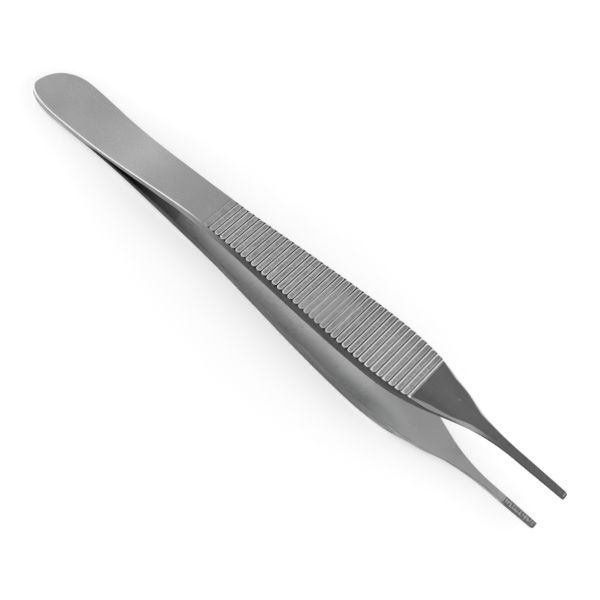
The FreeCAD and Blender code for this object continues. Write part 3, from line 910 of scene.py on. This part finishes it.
def make_ridged(finish):
    """The ridged grip: mottled crests, darker at the grip's start and toward the far side, with a
    painted sheen toward the front, painted highlights on their rims, and painted shade in the
    slots between them.
    """
    nodes, shader, clouds, grain = new_steel("ridged_steel", cloud_size=0.9, cloud_shift=31.0,
                                             grain_size=0.2)
    ahead, rim = nodes.mask("ahead"), nodes.mask("rim")
    streak = nodes.spread(nodes.noise(nodes.place(CROSS_STREAKS), 1.0, 3.0, 0.6), CREST_STREAKS)
    spots = nodes.times(nodes.plus(clouds["Cloud"], grain["Speckle"]), CREST_MOTTLE)
    crest = nodes.blend(nodes.plus(streak, spots), finish.ridge, finish.ridge_dull)
    # Crests darker at the start of the grip, then lighter toward its front: a painted sheen.
    crest = nodes.fade(crest, finish.satin_dark, ahead, GRIP_START)
    crest_sheen = nodes.plus(nodes.spread(ahead, GRIP_MIDDLE), nodes.spread(ahead, GRIP_FRONT))
    crest = nodes.blend(crest_sheen, crest, finish.edge)
    fleck = nodes.noise(nodes.place(FLECKS), 1.0, 1.0, 0.5)
    crest = nodes.fade(crest, finish.ridge_dull, fleck, CREST_FLECKS)
    crest = nodes.fade(crest, finish.ridge_dull, nodes.mask("across"), FAR_CRESTS)
    # A painted highlight, white, along the rims, strongest on the front ridges.
    rim_highlight = nodes.times(rim, nodes.spread(ahead, RIM_HIGHLIGHT))
    rimmed = nodes.blend(rim_highlight, crest, finish.edge)
    worn = nodes.blend(nodes.times(nodes.mask("worn"), WORN_SATIN), rimmed, finish.satin)
    # Painted shade in the slots: very dark, a little less so on the front ridges.
    deep = nodes.fade(finish.slot, finish.upper_side, ahead, FRONT_SLOTS)
    paint = nodes.fade(worn, deep, nodes.mask("slot"), SLOT_SHADE)
    rough = nodes.spread(grain["Speckle"], CREST_ROUGH)
    rough = nodes.spread(rim, (RIM_START, 1.0, rough, RIM_ROUGH))
    finish_steel(nodes, shader, paint, rough, grain, strength=0.35, distance=0.016)


def make_side(finish, node):
    """Ground sides: rough, with fine lines along the arm, and painted reflection and shade: pale
    at the heel, darker in front of it.
    """
    nodes, shader, clouds, grain = new_steel(node + "_side", cloud_size=3.0, cloud_shift=53.0,
                                             grain_size=0.12)
    ahead = nodes.mask("ahead")
    # Painted reflection: the side is as pale as the satin at the heel end, and darker toward the
    # spring.
    heel = nodes.fade(finish.side, finish.satin, ahead, HEEL_SIDE)
    if node == "lower_arm":
        # On the lower arm: painted shade between the springs, very dark, then a mid grey painted
        # reflection in front, paler toward the shoulder, with a lighter lip.
        paint = nodes.fade(finish.slot, finish.inner_shade, ahead, SPRING_SIDE)
        paint = nodes.fade(paint, finish.lower_side, ahead, LOWER_SIDE_START)
        paint = nodes.fade(paint, finish.inner_clouds_and_shade, ahead, LOWER_SIDE_PALE)
        lip = nodes.times(nodes.mask("lip"), nodes.spread(ahead, LIP_START))
        paint = nodes.blend(lip, paint, finish.side)
        paint = nodes.fade(heel, paint, ahead, SIDES_PART)
        marked = nodes.times(nodes.spread(ahead, TEETH_MARKED),
                             nodes.spread(grain["Speckle"], JAW_MARKS))
        paint = nodes.blend(marked, paint, finish.upper_side)
    else:
        # On the upper arm: a very dark painted reflection in front of the spring.
        paint = nodes.fade(heel, finish.upper_side, ahead, UPPER_SIDE_START)
    paint = nodes.blend(nodes.times(clouds["Streak"], SIDE_LINES), paint, finish.slot)
    rough = nodes.spread(clouds["Streak"], SIDE_ROUGH)
    finish_steel(nodes, shader, paint, rough, grain, strength=0.3, distance=0.012)


def make_inner(finish):
    """Inner faces: smoother, with uneven clouds, painted shade toward the near edge, at the grip's
    start, on the shoulder and between the springs, and a painted sheen toward the jaws.
    """
    nodes, shader, clouds, grain = new_steel("inner_steel", cloud_size=9.0, cloud_shift=77.0,
                                             grain_size=0.2)
    ahead, across = nodes.mask("ahead"), nodes.mask("across")
    # Painted shade: darker toward the near edge of the grip, and all over at its start and on the
    # shoulder, less toward the jaws.
    near = nodes.times(nodes.spread(across, NEAR_INSIDE), nodes.spread(ahead, NEAR_DULL_END))
    shoulder = nodes.plus(nodes.spread(ahead, SHOULDER_INSIDE), nodes.spread(ahead, JAW_INSIDE))
    ends = nodes.plus(nodes.spread(ahead, GRIP_INSIDE), shoulder)
    dull = dullness(nodes, clouds, grain, nodes.plus(near, ends), cloud_share=0.14,
                    speckle_share=0.05)
    paint = nodes.blend(dull, finish.inner, finish.inner_clouds_and_shade)
    # A painted sheen, paler toward the jaws.
    paint = nodes.fade(paint, finish.edge, ahead, JAW_PALE)
    # Painted shade between the springs, with a sharp slanted edge where the upper arm's shadow
    # ends.
    slant = nodes.plus(ahead, nodes.times(across, SHADE_SLANT))
    spring_shade_paint = nodes.fade(finish.inner_shade, paint, slant, SPRING_SHADE)
    paint = nodes.fade(paint, spring_shade_paint, slant, SHADE_END)
    rough = nodes.spread(clouds["Cloud"], INNER_ROUGH)
    finish_steel(nodes, shader, paint, rough, grain, strength=0.15, distance=0.01)


def make_toothed(finish):
    """The serrated end of a jaw: mottled, with painted shade toward its sides and, in patches, in
    its notches.
    """
    nodes, shader, clouds, grain = new_steel("toothed_steel", cloud_size=0.45, cloud_shift=91.0,
                                             grain_size=0.12)
    mottle = nodes.math("MULTIPLY_ADD", clouds["Cloud"], *TOOTH_MOTTLE)
    crest = nodes.blend(mottle, finish.satin, finish.upper_side)
    aside = nodes.math("ABSOLUTE", nodes.mask("across"))
    # Painted shade toward the jaw's sides.
    crest = nodes.fade(crest, finish.upper_side, aside, JAW_SIDES)
    chips = nodes.spread(nodes.noise(nodes.place(CHIPS), 1.0, 2.0, 0.5), TOOTH_CHIPS)
    # Painted shade in the serration notches, broken into patches.
    notch_shade = nodes.times(nodes.spread(nodes.mask("tooth"), TOOTH_SHADE), chips)
    paint = nodes.blend(notch_shade, crest, finish.slot)
    rough = nodes.spread(grain["Speckle"], TOOTH_ROUGH)
    finish_steel(nodes, shader, paint, rough, grain, strength=0.4, distance=0.016)


class FORCEPS_OT_steel(bpy.types.Operator):
    """Make the steel finishes of the forceps"""
    bl_idname = "forceps.steel"
    bl_label = "Steel Finishes"

    def execute(self, context):
        finish = context.scene.forceps_finish
        make_grain_group()
        make_cloud_group()
        make_satin(finish)
        make_ridged(finish)
        make_side(finish, "upper_arm")
        make_side(finish, "lower_arm")
        make_inner(finish)
        make_front(finish)
        make_toothed(finish)
        return {"FINISHED"}


class FORCEPS_OT_upper_arm(bpy.types.Operator):
    """Build the upper arm with its ridges and serrations"""
    bl_idname = "forceps.upper_arm"
    bl_label = "Upper Arm"

    def execute(self, context):
        build_arm(context, "upper_arm", side=1.0, seed=11)
        return {"FINISHED"}


class FORCEPS_OT_lower_arm(bpy.types.Operator):
    """Build the lower arm, the mirror image of the upper one"""
    bl_idname = "forceps.lower_arm"
    bl_label = "Lower Arm"

    def execute(self, context):
        build_arm(context, "lower_arm", side=-1.0, seed=12)
        return {"FINISHED"}


WHITE = (1.0, 1.0, 1.0, 1.0)
PAPER_ROUGHNESS = 0.9
KEY_PLACE = (0.6, 0.12, 0.4)
KEY_SIZE = 0.5
CLIP = (0.01, 20.0)

# The surroundings: levels from the heel's side to the tip's, seen behind the forceps and high up.
SKY_LEVELS = ((-0.82, 1.0), (-0.62, 0.66), (-0.38, 0.6), (-0.24, 0.2), (-0.12, 0.2), (0.02, 0.32),
              (0.16, 0.4), (0.45, 0.44), (0.58, 1.0))
SKY_FRONT = (0.7, 0.7, 0.7, 1.0)
SKY_BEHIND = (-0.1, 0.3, 0.0, 1.0)
SKY_HIGH = (0.35, 0.7, 0.0, 1.0)


def make_floor(stage):
    """The pale floor, which the camera and the steel see as white paper."""
    half = stage.floor_size / 2
    mesh = bpy.data.meshes.new("floor")
    mesh.from_pydata([(-half, -half, 0), (half, -half, 0), (half, half, 0), (-half, half, 0)], [],
                     [(0, 1, 2, 3)])
    material, nodes, shader = new_material("floor_paper", 0.0)
    for name, value in (("Roughness", PAPER_ROUGHNESS), ("Specular IOR Level", 0.0),
                        ("Base Color", stage.floor_colour), ("Emission Color", WHITE)):
        nodes.put(shader.inputs[name], value)
    # Seen directly or in the steel it is white, but it gives no more light than its colour does.
    seen = nodes.add("ShaderNodeLightPath").outputs
    direct = nodes.plus(nodes.plus(seen["Is Camera Ray"], seen["Is Glossy Ray"]),
                        seen["Is Transmission Ray"], clamp=True)
    nodes.put(shader.inputs["Emission Strength"], nodes.times(direct, stage.floor_lift))
    mesh.materials.append(material)
    floor = stand("floor", mesh)


def make_lamp(stage):
    """A soft square lamp on the far side, facing the forceps."""
    lamp = bpy.data.lights.new("key_lamp", "AREA")
    lamp.shape = "SQUARE"
    lamp.size = KEY_SIZE
    lamp.energy = stage.key_power
    holder = stand("key_lamp", lamp)
    holder.location = KEY_PLACE
    holder.rotation_euler = (-Vector(KEY_PLACE)).to_track_quat("-Z", "Y").to_euler()


def make_world():
    """Pale surroundings with a dimmer band high up behind the forceps."""
    world = bpy.data.worlds.new("studio")
    world.use_nodes = True
    bpy.context.scene.world = world
    nodes = Nodes(world.node_tree)
    background = world.node_tree.nodes["Background"]
    split = nodes.add("ShaderNodeSeparateXYZ")
    nodes.put(split.inputs[0], nodes.add("ShaderNodeTexCoord").outputs["Generated"])
    x, y, z = split.outputs
    ramp = nodes.add("ShaderNodeValToRGB")
    nodes.put(ramp.inputs["Fac"], nodes.math("MULTIPLY_ADD", x, 0.5, 0.5))
    ramp.color_ramp.interpolation = "EASE"
    while len(ramp.color_ramp.elements) < len(SKY_LEVELS):
        ramp.color_ramp.elements.new(0.5)
    for element, (at, level) in zip(ramp.color_ramp.elements, SKY_LEVELS):
        element.position = at * 0.5 + 0.5
        element.color = (level, level, level, 1.0)
    plain = nodes.fade(SKY_FRONT, ramp.outputs["Color"], y, SKY_BEHIND)
    sky = nodes.fade(WHITE, plain, z, SKY_HIGH)
    nodes.put(background.inputs["Color"], sky)
    background.inputs["Strength"].default_value = 1.0


def make_camera(stage):
    """The camera at the photograph's viewing angle."""
    camera = bpy.data.cameras.new("camera")
    camera.sensor_width = 36.0
    camera.lens = stage.camera_lens
    camera.clip_start, camera.clip_end = CLIP
    turn, drop, roll = stage.camera_turn, stage.camera_drop, stage.camera_roll
    level = Vector((math.cos(turn), math.sin(turn), 0.0))
    ahead = Vector((-math.sin(turn) * math.cos(drop), math.cos(turn) * math.cos(drop),
                    -math.sin(drop)))
    right = level * math.cos(roll) + level.cross(ahead) * math.sin(roll)
    axes = Matrix((right, right.cross(ahead), -ahead)).transposed()
    holder = stand("camera", camera)
    holder.matrix_world = Matrix.Translation(Vector(stage.camera_place)) @ axes.to_4x4()
    bpy.context.scene.camera = holder


class FORCEPS_OT_stage(bpy.types.Operator):
    """Lay the floor, set the lamp, the surroundings and the camera"""
    bl_idname = "forceps.stage"
    bl_label = "Floor, Light and Camera"

    def execute(self, context):
        stage = context.scene.forceps_stage
        make_floor(stage)
        make_world()
        make_lamp(stage)
        make_camera(stage)
        context.scene.view_settings.view_transform = "Standard"
        return {"FINISHED"}


class FORCEPS_PT_panel(bpy.types.Panel):
    """Lists the forceps' pieces, sizes and colours"""
    bl_idname = "FORCEPS_PT_panel"
    bl_label = "Thumb Forceps"
    bl_space_type = "VIEW_3D"
    bl_region_type = "UI"
    bl_category = "Forceps"

    def draw(self, context):
        for operator in OPERATORS:
            self.layout.operator(operator.bl_idname)
        for name, group in GROUPS:
            box = self.layout.box()
            for label in group.__annotations__:
                box.prop(getattr(context.scene, name), label)


OPERATORS = (FORCEPS_OT_steel, FORCEPS_OT_upper_arm, FORCEPS_OT_lower_arm, FORCEPS_OT_stage)
GROUPS = (
    ("forceps_plan", ForcepsPlan),
    ("forceps_profile", ForcepsProfile),
    ("forceps_ridges", ForcepsRidges),
    ("forceps_finish", ForcepsFinish),
    ("forceps_stage", ForcepsStage),
)


def register():
    for name, group in GROUPS:
        bpy.utils.register_class(group)
        setattr(bpy.types.Scene, name, bpy.props.PointerProperty(type=group))
    for kind in OPERATORS + (FORCEPS_PT_panel,):
        bpy.utils.register_class(kind)


def unregister():
    for kind in reversed(OPERATORS + (FORCEPS_PT_panel,)):
        bpy.utils.unregister_class(kind)
    for name, group in reversed(GROUPS):
        delattr(bpy.types.Scene, name)
        bpy.utils.unregister_class(group)


def main():
    register()
    bpy.ops.forceps.steel()
    bpy.ops.forceps.upper_arm()
    bpy.ops.forceps.lower_arm()
    bpy.ops.forceps.stage()
    bpy.context.view_layer.update()


if __name__ == "__main__":
    main()
